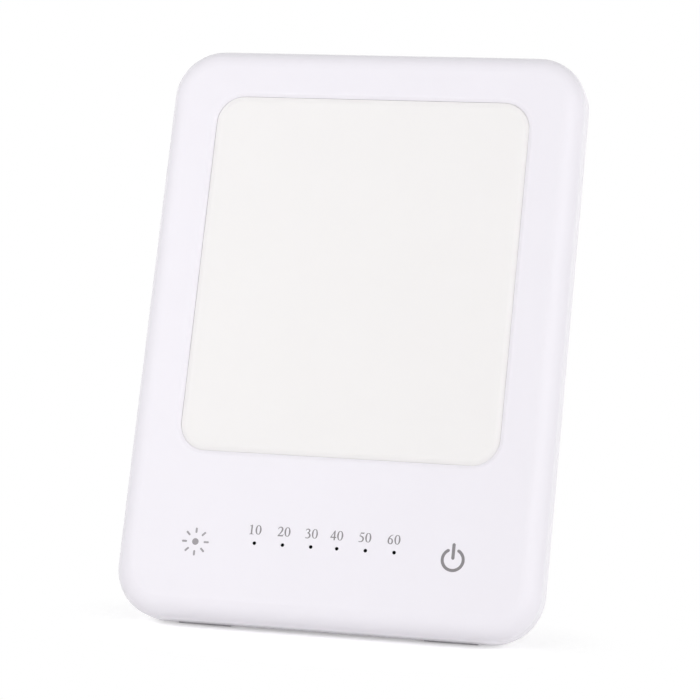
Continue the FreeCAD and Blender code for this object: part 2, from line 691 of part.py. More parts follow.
def rear_cover_shell():
    """Rear shell before its feet are let in: recess, hinge saddles, screw seats, vents and inlet hole."""
    body = slab("rear_cover_shell", lambda s: casing_outline(s, "0"), "0", "Dims.parting")
    subparts.remove(body)
    soften(body, "Fillet", "Dims.rear_round", at_level("0"))
    soften(body, "Chamfer", "Dims.seam_bevel", casing_edge("Dims.parting"))
    rim_outside = "Dims.wall + Dims.slip"
    rim_inside = "Dims.wall + Dims.slip + Dims.tongue_wall"
    cut(body, lambda s: casing_outline(s, rim_inside), "Dims.wall", "Dims.parting - Dims.wall")

    def rim(sketch):
        casing_outline(sketch, rim_outside)
        casing_outline(sketch, rim_inside)

    add(body, rim, "Dims.parting", "Dims.tongue_height")

    wall = "Dims.recess_wall"
    saddle_inner = f"Dims.leg_width / 2 + Dims.recess_gap + {wall} - Dims.slip"
    saddle_low = "Dims.hinge_up - Dims.saddle_half"
    saddle_high = "Dims.hinge_up + Dims.saddle_half"
    add(body, lambda s: recess_outline(s, wall), "Dims.wall",
        f"Dims.recess_depth + {wall} - Dims.wall")
    add(body, lambda s: hinge_outline(s, wall), "Dims.wall", f"{HINGE_FLOOR} + {wall} - Dims.wall")
    add(body, lambda s: notch_circle(s, wall), "Dims.wall", f"Dims.recess_depth + {wall} - Dims.wall")
    add(body, lambda s: rectangle_pair(s, saddle_inner, "Dims.saddle_end", saddle_low, saddle_high),
        "Dims.wall", "Dims.saddle_top - Dims.wall")
    add(body, lambda s: case_screw_circles(s, "Dims.case_seat_boss"), "Dims.wall",
        "Dims.case_seat_top - Dims.wall")

    cut(body, recess_outline, "0", "Dims.recess_depth")
    cut(body, notch_circle, "0", "Dims.recess_depth")
    cut(body, hinge_outline, "0", HINGE_FLOOR)
    cut(body, lambda s: case_screw_circles(s, "Dims.case_seat_round"), "0", "Dims.case_seat")
    cut(body, lambda s: case_screw_circles(s, "Dims.case_hole"), "Dims.case_seat",
        "Dims.case_seat_top - Dims.case_seat")
    cut(body, lambda s: cap_screw_circles(s, "Dims.pilot"), "Dims.wall + Dims.saddle_floor",
        "Dims.saddle_top - Dims.wall - Dims.saddle_floor")
    cut(body, lambda s: circle(s, "Dims.jack_x", "Dims.jack_y", "Dims.jack_hole"), "0", "Dims.wall")
    bore = sketch_on(body, "YZ_Plane")
    circle(bore, "Dims.hinge_up", "Dims.hinge_level", "Dims.pin + Dims.pin_run")
    pocket(body, bore, "2 * Dims.saddle_end", symmetric=True)
    groove = "Dims.pin + Dims.pin_run"
    cut(body, lambda s: rectangle_pair(s, f"{saddle_inner} + Dims.slip", "Dims.saddle_end",
                                       f"Dims.hinge_up - ({groove})", f"Dims.hinge_up + {groove}"),
        "Dims.hinge_level", "Dims.saddle_top - Dims.hinge_level")
    slot = cut(body, lambda s: rounded_rectangle(s, "Dims.vent_width", "Dims.vent", "Dims.vent_low",
                                                 "0.45 * Dims.vent"), "0", "Dims.wall")
    repeat(body, slot, "Y_Axis", "Dims.vent_pitch", "Dims.vent_count")
    return body


def foot_box(name, left):
    """One base foot, level with the ground, about the casing's lowest line."""
    foot = doc.addObject("Part::Box", name)
    foot.setExpression("Length", "Dims.foot_length")
    foot.setExpression("Width", "Dims.foot_fore + Dims.foot_aft")
    foot.setExpression("Height", "Dims.foot_proud + Dims.foot_sunk")
    centre = Vector(0, value("Dims.rear_round"), value("Dims.rear_round"))
    lowest = PANEL.multVec(centre).y
    foot.Placement = Placement(Vector(value(left), lowest - value("Dims.foot_fore"), 0), Rotation())
    return foot


def rear_cover_and_feet():
    """The rear shell with the two base feet let into its lower edge."""
    shell = rear_cover_shell()
    boxes = [
        foot_box("base_foot_right", "Dims.foot_x"),
        foot_box("base_foot_left", "-Dims.foot_x - Dims.foot_length"),
    ]
    feet = doc.addObject("Part::Compound", "base_feet")
    feet.Label = "base_feet"
    feet.Links = boxes
    cover = doc.addObject("Part::Cut", "rear_cover")
    cover.Label = "rear_cover"
    cover.Base = shell
    cover.Tool = feet
    doc.recompute()
    subparts.extend([cover, feet])


# ---- light engine ------------------------------------------------------------------------------


def light_engine():
    """The sheets behind the window, from front to back."""

    def seal_frame(sketch):
        optics_outline(sketch)
        window_outline(sketch, "Dims.seal_setback")

    slab("diffuser_seal", seal_frame, DIFFUSER_FRONT, "Dims.seal")
    panel = slab("diffuser_panel", optics_outline, GUIDE_FRONT, "Dims.diffuser")
    add(panel, lambda s: window_outline(s, "-Dims.diffuser_joint"), DIFFUSER_FRONT,
        f"{DIFFUSER_MIDDLE} - {DIFFUSER_FRONT}")
    slope_edges(panel, "Dims.diffuser_slope", "Dims.diffuser_drop", "Dims.diffuser_blend",
                DIFFUSER_MIDDLE)
    slab("light_guide_plate", optics_outline, REFLECTOR_FRONT, "Dims.guide")
    slab("reflector_sheet", optics_outline, TRAY_FRONT, "Dims.reflector")


def light_tray():
    """Folded tray: a flat back, four rims with open corners, and screw ears."""
    high = f"{TRAY_LOW} + {TRAY_HEIGHT}"
    body = slab("light_tray", lambda s: rectangle(s, f"-{TRAY_HALF}", TRAY_HALF, TRAY_LOW, high),
                TRAY_BACK, "Dims.tray")
    for low, top in ((f"{TRAY_LOW} - Dims.ear_length", TRAY_LOW), (high, f"{high} + Dims.ear_length")):
        add(body, lambda s: rectangle_pair(s, "Dims.ear_x - Dims.ear_width / 2",
                                           "Dims.ear_x + Dims.ear_width / 2", low, top),
            TRAY_BACK, "Dims.tray")
    add(body, lambda s: rectangle_pair(s, f"{TRAY_HALF} - Dims.tray", TRAY_HALF, TRAY_LOW, high),
        TRAY_FRONT, "Dims.tray_rim")
    end = f"{TRAY_HALF} - Dims.tray_corner_gap"
    for low, top in ((TRAY_LOW, f"{TRAY_LOW} + Dims.tray - Dims.slip"),
                     (f"{high} - Dims.tray + Dims.slip", high)):
        add(body, lambda s: rectangle(s, f"-({end})", end, low, top), TRAY_FRONT, "Dims.tray_rim")
    cut(body, lambda s: tray_screw_circles(s, "Dims.screw_hole"), TRAY_BACK, "Dims.tray")


def side_rectangle(sketch, side, inner, outer, low, high):
    """A rectangle on the right (1) or the left (-1) of the middle."""
    if side > 0:
        rectangle(sketch, inner, outer, low, high)
    else:
        rectangle(sketch, f"-({outer})", f"-({inner})", low, high)


def led_strips():
    """On each side of the light guide, a narrow board with its row of LEDs."""
    outer = f"{TRAY_HALF} - Dims.tray"
    inner = f"{outer} - Dims.strip_board"
    low = f"{TRAY_LOW} + Dims.tray + Dims.strip_end"
    high = f"{TRAY_LOW} + {TRAY_HEIGHT} - Dims.tray - Dims.strip_end"
    start = f"{TRAY_FRONT} + Dims.slip"
    led_start = f"{start} + (Dims.strip_width - Dims.led_width) / 2"
    for name, side in (("right", 1), ("left", -1)):
        slab(f"led_strip_{name}", lambda s: side_rectangle(s, side, inner, outer, low, high),
             start, "Dims.strip_width")
        body = new_body(f"led_chips_{name}")
        led = add(body, lambda s: side_rectangle(s, side, f"{inner} - Dims.led_rise", inner,
                                                 "Dims.led_first", "Dims.led_first + Dims.led_length"),
                  led_start, "Dims.led_width")
        repeat(body, led, "Y_Axis", "Dims.led_pitch", "Dims.led_count")


# ---- electronics -------------------------------------------------------------------------------


def main_board():
    """Board behind the control row, with its clearance holes."""
    body = slab("main_board", lambda s: rounded_rectangle(s, "Dims.board_width", "Dims.board_height",
                                                          "Dims.board_low", "Dims.board"),
                "Dims.board_back", "Dims.board")
    cut(body, lambda s: board_screw_circles(s, "Dims.screw_hole"), "Dims.board_back", "Dims.board")


def indicators():
    """Six small LEDs on the board, and the bar of light pipes in front of them."""
    body = new_body("indicator_leds")
    half = "Dims.small_led_width / 2"
    for x in indicator_places():
        add(body, lambda s: rectangle(s, f"{x} - {half}", f"{x} + {half}",
                                      "Dims.indicator_y - Dims.small_led_height / 2",
                                      "Dims.indicator_y + Dims.small_led_height / 2"),
            BOARD_FRONT, "Dims.small_led_rise")
    left = "-Dims.indicator_left - Dims.pipe_bar_end"
    right = "Dims.indicator_right + 2 * Dims.indicator_pitch + Dims.pipe_bar_end"
    pipes = slab("indicator_lens_strip",
                 lambda s: rectangle(s, left, right, "Dims.indicator_y - Dims.pipe_bar_width / 2",
                                     "Dims.indicator_y + Dims.pipe_bar_width / 2"),
                 f"{INNER_FACE} - Dims.pipe_bar", "Dims.pipe_bar")
    add(pipes, lambda s: indicator_circles(s, "Dims.light_pipe"), INNER_FACE,
        "Dims.wall - Dims.pipe_sink")


def touch_spring(label, x, y):
    """A coil spring that carries a printed key's touch signal to the board."""
    foot = Placement(Vector(value(x), value(y), value(f"{BOARD_FRONT} + Dims.spring_wire")), Rotation())
    body = new_body(label, PANEL * foot)
    section = sketch_on(body, "XZ_Plane")
    circle(section, "Dims.spring_round", "0", "Dims.spring_wire")
    coil = body.newObject("PartDesign::AdditiveHelix", label + "_helix")
    coil.Profile = section
    coil.ReferenceAxis = (section, ["V_Axis"])
    coil.Mode = "height-turns-angle"
    coil.setExpression("Height", f"{INNER_FACE} - {BOARD_FRONT} - 2 * Dims.spring_wire - Dims.slip")
    coil.setExpression("Turns", "Dims.spring_turns")
    doc.recompute()


def board_parts():
    """The driver's larger parts on the board's rear face."""
    body = new_body("filter_capacitors")
    for n in range(2):
        add(body, lambda s: circle(s, f"-Dims.capacitor_x - {n} * Dims.capacitor_pitch",
                                   "Dims.capacitor_y", "Dims.capacitor"),
            "Dims.board_back - Dims.capacitor_rise", "Dims.capacitor_rise")
    soften(body, "Fillet", "0.1 * Dims.capacitor", at_level("Dims.board_back - Dims.capacitor_rise"))

    def square(sketch, x, y, width, height):
        rectangle(sketch, f"{x} - {width} / 2", f"{x} + {width} / 2", f"{y} - {height} / 2",
                  f"{y} + {height} / 2")

    coil = slab("driver_inductor", lambda s: square(s, "-Dims.inductor_x", "Dims.inductor_y",
                                                    "Dims.inductor", "Dims.inductor"),
                "Dims.board_back - Dims.inductor_rise", "Dims.inductor_rise")
    soften(coil, "Chamfer", "0.15 * Dims.inductor",
           lambda e: abs(e.BoundBox.ZLength - value("Dims.inductor_rise")) < 1e-3)
    slab("driver_chip", lambda s: square(s, "-Dims.chip_x", "Dims.chip_y", "Dims.chip_width",
                                         "Dims.chip_height"),
         "Dims.board_back - Dims.chip_rise", "Dims.chip_rise")
    plugs = new_body("led_connectors")
    for side in ("", "-"):
        add(plugs, lambda s: square(s, f"{side}Dims.connector_x", "Dims.connector_y",
                                    "Dims.connector_width", "Dims.connector_height"),
            BOARD_FRONT, "Dims.connector_rise")


def shared_ends(sketch, piece, following):
    """Which end of each piece (1 start, 2 end) lies on the other piece."""
    ends = [(p, q) for p in (1, 2) for q in (1, 2)]
    return min(ends, key=lambda e: (sketch.getPoint(piece, e[0])
                                    - sketch.getPoint(following, e[1])).Length)


def led_lead(label, side):
    """A lead from its connector, sideways and up to the end of the LED strip."""
    start = (f"{side} * Dims.connector_x", "Dims.connector_y + Dims.connector_height / 2")
    end = (f"{side} * ({TRAY_HALF} - Dims.tray - Dims.strip_board / 2)",
           f"{TRAY_LOW} + Dims.tray + Dims.strip_end")
    body = new_body(label)
    route = sketch_on(body, "XY_Plane", "Dims.lead_level")
    turn = value("Dims.lead_bend")
    across = side * turn
    corner = turn * (1 - value("cos(45)"))
    a = Vector(value(start[0]), value(start[1]), 0)
    b = Vector(value(end[0]), value(end[1]), 0)
    low = Vector(a.x, value("Dims.lead_run") - turn, 0)
    high = Vector(b.x, value("Dims.lead_run") + turn, 0)
    left = low + Vector(across, turn, 0)
    right = high - Vector(across, turn, 0)
    pieces = [
        Part.LineSegment(a, low),
        Part.Arc(low, low + Vector(side * corner, turn - corner, 0), left),
        Part.LineSegment(left, right),
        Part.Arc(right, high - Vector(side * corner, turn - corner, 0), high),
        Part.LineSegment(high, b),
    ]
    first, bend, across_line, other_bend, last = (route.addGeometry(p, False) for p in pieces)
    for piece, following in ((first, bend), (bend, across_line), (across_line, other_bend),
                             (other_bend, last)):
        here, there = shared_ends(route, piece, following)
        route.addConstraint(Sketcher.Constraint("Tangent", piece, here, following, there))
    route.addConstraint(Sketcher.Constraint("Vertical", first))
    route.addConstraint(Sketcher.Constraint("Horizontal", across_line))
    route.addConstraint(Sketcher.Constraint("Vertical", last))
    route.addConstraint(Sketcher.Constraint("Equal", bend, other_bend))
    fix(route, "Radius", bend, "Dims.lead_bend")
    fix(route, "DistanceX", -1, 1, first, 1, start[0])
    fix(route, "DistanceY", -1, 1, first, 1, start[1])
    fix(route, "DistanceY", -1, 1, across_line, 1, "Dims.lead_run")
    fix(route, "DistanceX", -1, 1, last, 2, end[0])
    fix(route, "DistanceY", -1, 1, last, 2, end[1])
    section = sketch_on(body, "XZ_Plane", f"-({start[1]})")
    circle(section, start[0], "Dims.lead_level", "Dims.lead")
    pipe = body.newObject("PartDesign::AdditivePipe", label + "_pipe")
    pipe.Profile = section
    pipe.Spine = (route, [])
    doc.recompute()


def dc_jack():
    """Power inlet: a housing with a round mouth, and its centre pin."""
    half = "Dims.jack_body / 2"
    housing = slab(
        "dc_jack_housing",
        lambda s: rectangle(s, f"Dims.jack_x - {half}", f"Dims.jack_x + {half}",
                            f"Dims.jack_y - {half}", f"Dims.jack_y + {half}"),
        "Dims.jack_collar_base", "Dims.board_back - Dims.jack_collar_base")

    def ring(sketch, radius):
        circle(sketch, "Dims.jack_x", "Dims.jack_y", radius)

    add(housing, lambda s: ring(s, "Dims.jack_collar"), "Dims.jack_mouth",
        "Dims.jack_collar_base - Dims.jack_mouth")
    cut(housing, lambda s: ring(s, "Dims.jack_bore"), "Dims.jack_mouth",
        "Dims.jack_floor - Dims.jack_mouth")
    cut(housing, lambda s: ring(s, "Dims.jack_pin_base"), "Dims.jack_floor",
        "Dims.board_back - Dims.jack_floor")
    pin = slab("dc_jack_pin", lambda s: ring(s, "Dims.jack_pin"), "Dims.jack_pin_tip",
               "Dims.jack_floor - Dims.jack_pin_tip")
    add(pin, lambda s: ring(s, "Dims.jack_pin_base"), "Dims.jack_floor",
        "Dims.board_back - Dims.jack_floor")


# ---- fasteners ---------------------------------------------------------------------------------


def screws(label, circles, seat, radius, length, head, rise, cross_places):
    """Screws driven from behind: heads below the seat's height, shanks above it, crosses in the heads."""
    body = new_body(label)
    add(body, lambda s: circles(s, head), f"{seat} - {rise}", rise)
    soften(body, "Fillet", f"0.4 * {rise}", at_level(f"{seat} - {rise}"))
    add(body, lambda s: circles(s, radius), seat, length)
    arm = f"0.6 * {head}"
    half = "Dims.screw_slot / 2"
    for x, y in cross_places:

        def cross(sketch):
            ends = [(arm, half), (half, half), (half, arm)]
            corners = []
            for sx, sy, order in ((1, 1, 1), (-1, 1, -1), (-1, -1, 1), (1, -1, -1)):
                for dx, dy in ends[::order]:
                    corners.append((f"{x} + {sx} * {dx}", f"{y} + {sy} * {dy}"))
            polygon(sketch, corners)

        cut(body, cross, f"{seat} - {rise}", "Dims.screw_slot")


def both_sides(x, *heights):
    """Places at each height, right and left of the middle."""
    return [(f"{side}{x}", y) for y in heights for side in ("", "-")]


def fasteners():
    """The screws that are driven from behind, in three groups."""
    high = f"({TRAY_LOW} + {TRAY_HEIGHT} + Dims.ear_length / 2)"
    small = ("Dims.screw_head", "Dims.screw_head_rise")
    case_places = both_sides("Dims.case_screw_x", "Dims.case_screw_inset",
                             "(Dims.panel_height - Dims.case_screw_inset)")
    case_places += both_sides("Dims.case_screw_middle", "Dims.panel_height / 2")
    screws("case_screws", case_screw_circles, "Dims.case_seat", "Dims.case_screw",
           "Dims.case_screw_length", "Dims.case_head", "Dims.case_head_rise", case_places)
    screws("tray_screws", tray_screw_circles, TRAY_BACK, "Dims.screw", "Dims.screw_length", *small,
           both_sides("Dims.ear_x", f"({TRAY_LOW} - Dims.ear_length / 2)", high))
    screws("board_screws", board_screw_circles, "Dims.board_back", "Dims.screw", "Dims.screw_length", *small,
           both_sides("Dims.board_screw_x", "Dims.board_screw_low", "Dims.board_screw_high"))


# ---- hinge and leg -----------------------------------------------------------------------------


def hinge_cap_screws():
    """The caps' screws are driven from inside, so their heads face the front."""
    seat = "(Dims.saddle_top + Dims.cap)"
    body = new_body("hinge_cap_screws")
    add(body, lambda s: cap_screw_circles(s, "Dims.screw"), f"{seat} - Dims.cap_screw_length",
        "Dims.cap_screw_length")
    add(body, lambda s: cap_screw_circles(s, "Dims.screw_head"), seat, "Dims.screw_head_rise")


def hinge_caps():
    """Caps over the pin's ends, each with a rib on the pin and a stop past its end."""
    inner = "Dims.leg_width / 2 + Dims.recess_gap + Dims.recess_wall + Dims.slip"
    low = "Dims.hinge_up - Dims.saddle_half"
    high = "Dims.hinge_up + Dims.saddle_half"
    body = slab("hinge_caps", lambda s: rectangle_pair(s, inner, "Dims.saddle_end", low, high),
                "Dims.saddle_top", "Dims.cap")
    rib_low = "Dims.hinge_up - Dims.pin"
    rib_high = "Dims.hinge_up + Dims.pin"
    pin_top = "Dims.hinge_level + Dims.pin + Dims.pin_run"
    add(body, lambda s: rectangle_pair(s, inner, "Dims.saddle_end", rib_low, rib_high), pin_top,
        f"Dims.saddle_top - ({pin_top})")
    add(body, lambda s: rectangle_pair(s, "Dims.saddle_end - Dims.cap_stop", "Dims.saddle_end",
                                       rib_low, rib_high),
        "Dims.hinge_level", f"{pin_top} - Dims.hinge_level")
    cut(body, lambda s: cap_screw_circles(s, "Dims.screw_hole"), "Dims.saddle_top", "Dims.cap")


def hinge_washers():
    """A friction washer on the pin at each side of the leg."""
    body = new_body("hinge_washers")
    gap = "(Dims.recess_gap - Dims.washer) / 2"
    near = f"Dims.leg_width / 2 + {gap}"
    for level in (near, f"-({near} + Dims.washer)"):
        sketch = sketch_on(body, "YZ_Plane", level)
        circle(sketch, "Dims.hinge_up", "Dims.hinge_level", "Dims.washer_round")
        circle(sketch, "Dims.hinge_up", "Dims.hinge_level", "Dims.pin + Dims.slip")
        pad(body, sketch, "Dims.washer")


def hinge_pin():
    """Steel pin, pressed through the leg."""
    body = new_body("hinge_pin", LEG)
    sketch = sketch_on(body, "YZ_Plane")
    circle(sketch, "0", "0", "Dims.pin")
    pad(body, sketch, "2 * Dims.pin_reach", symmetric=True)
    soften(body, "Chamfer", "0.2 * Dims.pin", lambda e: abs(e.BoundBox.XLength) < 1e-6)


def ground_point(depth, height):
    """A point of the leg's side view at a depth, height above the ground with the leg at its stop."""
    below = f"({HINGE_HEIGHT} - ({height}) - ({depth}) * sin({LEG_SLANT})) / cos({LEG_SLANT})"
    return (f"-({below})", depth)


def stand_leg():
    """Fold-out leg: plate with a barrel, a heel that meets its stop, hollows and a level end."""
    inside = "(Dims.leg_thickness - Dims.leg_outside)"
    half = "Dims.leg_width / 2"
    end = ground_point("-Dims.leg_outside", "Dims.pad")[0]
    body = slab("stand_leg", lambda s: tongue_outline(s, half, end, "0", "Dims.leg_round"),
                "-Dims.leg_outside", "Dims.leg_thickness", LEG)
    soften(body, "Fillet", "Dims.leg_edge",
           lambda e: at_level("-Dims.leg_outside")(e) and e.BoundBox.YMin < -1)
    barrel = sketch_on(body, "YZ_Plane")
    circle(barrel, "0", "0", "Dims.barrel")
    pad(body, barrel, "Dims.leg_width", symmetric=True)

    def at_stop(out, up):
        """A point of the folded leg that the open leg brings to (out, up) from the hinge."""
        return (f"{out} * cos(Dims.open_angle) + ({up}) * sin(Dims.open_angle)",
                f"({up}) * cos(Dims.open_angle) - {out} * sin(Dims.open_angle)")

    heel = sketch_on(body, "YZ_Plane")
    outer_end = at_stop("Dims.stop_reach", "-Dims.stop_low")
    polygon(heel, [
        ("0", "0"),
        ("0", "-Dims.leg_outside"),
        (outer_end[0], "-Dims.leg_outside"),
        outer_end,
        at_stop("Dims.stop_reach", "Dims.stop_high"),
        at_stop("0.8 * Dims.barrel", "0.55 * Dims.barrel"),
    ])
    pad(body, heel, "Dims.leg_width", symmetric=True)
    bore = sketch_on(body, "YZ_Plane")
    circle(bore, "0", "0", "Dims.pin")
    pocket(body, bore, "Dims.leg_width", symmetric=True)
    hollow = cut(body, lambda s: rectangle(s, "-Dims.hollow_pitch - Dims.hollow_width / 2",
                                           "-Dims.hollow_pitch + Dims.hollow_width / 2",
                                           "-Dims.hollow_top - Dims.hollow_length",
                                           "-Dims.hollow_top"),
                 f"{inside} - Dims.leg_hollow", "Dims.leg_hollow")
    repeat(body, hollow, "X_Axis", "Dims.hollow_pitch", "3")
    below = "Dims.pad - Dims.rib"
    level_end = sketch_on(body, "YZ_Plane")
    polygon(level_end, [
        ground_point("-Dims.leg_outside - 1", "Dims.pad"),
        ground_point(f"{inside} + 1", "Dims.pad"),
        ground_point(f"{inside} + 1", below),
        ground_point("-Dims.leg_outside - 1", below),
    ])
    pocket(body, level_end, "Dims.leg_width", symmetric=True)
    slot = sketch_on(body, "YZ_Plane")
    pad_rib(slot, "Dims.pin_run")
    pocket(body, slot, "Dims.pad_width - 2 * Dims.rib", symmetric=True)


def pad_rib(sketch, margin):
    """The rib that keys the pad into the leg's end, moved outwards by margin."""
    middle = "Dims.leg_thickness / 2 - Dims.leg_outside"
    near = f"{middle} - Dims.rib / 2 - {margin}"
    far = f"{middle} + Dims.rib / 2 + {margin}"
    top = "Dims.pad + Dims.rib"
    polygon(sketch, [ground_point(near, "Dims.pad"), ground_point(far, "Dims.pad"),
                     ground_point(far, top), ground_point(near, top)])


def stand_foot_pad():
    """Rubber pad under the leg, level with the ground when the leg is at its stop."""
    body = new_body("stand_foot_pad", LEG)
    near = "-Dims.leg_outside + Dims.pad_inset"
    far = "Dims.leg_thickness - Dims.leg_outside - Dims.pad_inset"
    sole = sketch_on(body, "YZ_Plane")
    polygon(sole, [ground_point(near, "0"), ground_point(far, "0"), ground_point(far, "Dims.pad"),
                   ground_point(near, "Dims.pad")])
    pad(body, sole, "Dims.pad_width", symmetric=True)
    key = sketch_on(body, "YZ_Plane")
    pad_rib(key, "0")
    pad(body, key, "Dims.pad_width - 2 * Dims.rib - 2 * Dims.slip", symmetric=True)


# ---- build, check, write -----------------------------------------------------------------------


def check_and_write():
    """Stop on any failed object or bad shape, then write one file a sub-part."""
    doc.recompute()
    for item in doc.Objects:
        if "Invalid" in item.State or "Error" in item.State:
            raise RuntimeError(f"{item.Label}: {item.State}")
    for item in subparts:
        shape = item.Shape
        if shape.isNull() or not shape.isValid() or not shape.Solids:
            raise RuntimeError(f"{item.Label} has a bad shape")
    for item in subparts:
        item.Shape.exportStep(f"parts/{item.Label}.step")
        box = item.Shape.BoundBox
        print(f"{item.Label}: {len(item.Shape.Solids)} solid(s), {item.Shape.Volume:.1f} mm3, "
              f"Z {box.ZMin:.2f} to {box.ZMax:.2f}")


front_bezel()
rear_cover_and_feet()
light_engine()
light_tray()
led_strips()
main_board()
indicators()
touch_spring("brightness_touch_spring", "-Dims.key_left_x", "Dims.key_left_y")
touch_spring("power_touch_spring", "Dims.key_right_x", "Dims.key_right_y")
board_parts()
led_lead("led_lead_right", 1)
led_lead("led_lead_left", -1)
dc_jack()
fasteners()
hinge_cap_screws()
hinge_caps()
hinge_washers()
hinge_pin()
stand_leg()
stand_foot_pad()
check_and_write()
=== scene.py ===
import json
import math

import bmesh
import bpy
from mathutils import Matrix, Vector


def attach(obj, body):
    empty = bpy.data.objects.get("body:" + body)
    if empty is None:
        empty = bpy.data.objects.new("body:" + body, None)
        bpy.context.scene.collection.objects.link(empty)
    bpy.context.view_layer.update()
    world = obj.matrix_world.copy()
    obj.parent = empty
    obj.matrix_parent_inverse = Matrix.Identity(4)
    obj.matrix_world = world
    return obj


# A light therapy lamp: the finish of its CAD nodes, the flat print on its front casing, a white room,
# soft lights and the camera.

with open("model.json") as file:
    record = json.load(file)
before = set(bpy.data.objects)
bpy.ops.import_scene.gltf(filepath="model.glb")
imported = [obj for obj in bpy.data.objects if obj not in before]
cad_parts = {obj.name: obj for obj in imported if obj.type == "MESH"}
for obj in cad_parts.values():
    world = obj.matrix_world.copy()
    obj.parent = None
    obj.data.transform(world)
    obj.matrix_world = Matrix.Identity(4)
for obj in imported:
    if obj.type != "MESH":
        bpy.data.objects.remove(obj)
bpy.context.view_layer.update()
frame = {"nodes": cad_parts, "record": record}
nodes = frame["nodes"]
MM = 0.001
UM = MM * MM


def mount(name):
    """One of the record's mounts."""
    return next(m for m in frame["record"]["mounts"] if m["name"] == name)


def new_object(name, data):
    """An object of the scene that holds a mesh, a light or a camera."""
    made = bpy.data.objects.new(name, data)
    bpy.context.scene.collection.objects.link(made)
    return made


# ---- the panel's frame ---------------------------------------------------------------------------
# X to the right seen from the front, Y up the panel from its lower edge, Z out of its front face
# from the back plane, in millimetres. The power inlet's centre pin is square to the panel and gives
# its lean, and INLET is the pin's place on it.

PANEL_DEPTH = 18.0
INLET = Vector((64.5, 30.0, 5.6))


def panel_frame():
    """The matrix that takes a point of the panel, in millimetres, to the row frame."""
    inlet = mount("dc_inlet")
    right = Vector((1, 0, 0))
    out = -Vector(inlet["axis"]).normalized()
    up = out.cross(right)
    turn = Matrix((right, up, out)).transposed()
    origin = Vector(inlet["pos_m"]) - turn @ INLET * MM
    return Matrix.Translation(origin) @ turn.to_4x4() @ Matrix.Scale(MM, 4)


PANEL = panel_frame()


# ---- materials -----------------------------------------------------------------------------------

# Most values of a noise texture lie in this range.
NOISE_RANGE = (0.3, 0.7)
ROUGHNESS_DRIFT = 0.06


def srgb(red, green, blue):
    """A colour given as screen values, 0 to 255, as a linear colour."""
    def linear(v):
        v /= 255
        return v / 12.92 if v <= 0.04045 else ((v + 0.055) / 1.055) ** 2.4
    return (linear(red), linear(green), linear(blue), 1.0)


def shade(colour, factor):
    """A colour made darker or lighter by a factor."""
    return tuple(min(1.0, c * factor) for c in colour[:3]) + (1.0,)


def noise(tree, place, size_mm, detail=3.0, rough=0.5):
    """A noise texture whose features measure about size_mm."""
    node = tree.nodes.new("ShaderNodeTexNoise")
    node.inputs["Scale"].default_value = 1 / (size_mm * MM)
    node.inputs["Detail"].default_value = detail
    node.inputs["Roughness"].default_value = rough
    tree.links.new(place, node.inputs["Vector"])
    return node.outputs["Fac"]


def spread(tree, value, low, high):
    """A noise value stretched to run from low to high."""
    node = tree.nodes.new("ShaderNodeMapRange")
    node.inputs["From Min"].default_value, node.inputs["From Max"].default_value = NOISE_RANGE
    node.inputs["To Min"].default_value = low
    node.inputs["To Max"].default_value = high
    tree.links.new(value, node.inputs["Value"])
    return node.outputs["Result"]


def stretched(tree, place, stretch):
    """Coordinates that draw a pattern out along an axis."""
    mapping = tree.nodes.new("ShaderNodeMapping")
    mapping.inputs["Scale"].default_value = stretch
    tree.links.new(place, mapping.inputs["Vector"])
    return mapping.outputs["Vector"]


def mottled(tree, place, colour, mottle, patch_mm):
    """The colour, a little darker and lighter in patches."""
    mix = tree.nodes.new("ShaderNodeMix")
    mix.data_type = "RGBA"
    mix.inputs["A"].default_value = shade(colour, 1 - mottle)
    mix.inputs["B"].default_value = shade(colour, 1 + mottle)
    tree.links.new(spread(tree, noise(tree, place, patch_mm), 0, 1), mix.inputs["Factor"])
    return mix.outputs["Result"]


def raised(tree, grain, grain_um):
    """The normal of a surface with that grain, grain_um deep."""
    bump = tree.nodes.new("ShaderNodeBump")
    bump.inputs["Strength"].default_value = 1.0
    bump.inputs["Distance"].default_value = grain_um * UM
    tree.links.new(grain, bump.inputs["Height"])
    return bump.outputs["Normal"]


def socket_name(word):
    """A shader socket's name from a keyword, such as Specular IOR Level from specular_ior_level."""
    return word.replace("_", " ").title().replace("Ior", "IOR")


def finish(name, colour, roughness, grain_mm, grain_um, mottle=0.02, patch_mm=30.0, stretch=None,
           **sockets):
    """A material with a moulded, cast, drawn or rolled grain.

    Its colour drifts by mottle over patches of patch_mm. Its surface has grains of grain_mm,
    grain_um deep, and its roughness drifts with them. stretch draws the grain out along an axis, as
    on brushed metal. The other keywords set sockets of the shader.
    """
    material = bpy.data.materials.new(name)
    material.use_nodes = True
    tree = material.node_tree
    shader = tree.nodes["Principled BSDF"]
    place = tree.nodes.new("ShaderNodeTexCoord").outputs["Object"]
    grain_place = stretched(tree, place, stretch) if stretch else place
    grain = noise(tree, grain_place, grain_mm, detail=4.0, rough=0.6)
    smoothest, roughest = (1 - ROUGHNESS_DRIFT) * roughness, (1 + ROUGHNESS_DRIFT) * roughness
    tree.links.new(mottled(tree, place, colour, mottle, patch_mm), shader.inputs["Base Color"])
    tree.links.new(spread(tree, grain, smoothest, roughest), shader.inputs["Roughness"])
    tree.links.new(raised(tree, grain, grain_um), shader.inputs["Normal"])
    for word, value in sockets.items():
        shader.inputs[socket_name(word)].default_value = value
    return material


def dress(material, *names):
    """Give the material to CAD nodes."""
    for name in names:
        mesh = nodes[name].data
        mesh.materials.clear()
        mesh.materials.append(material)


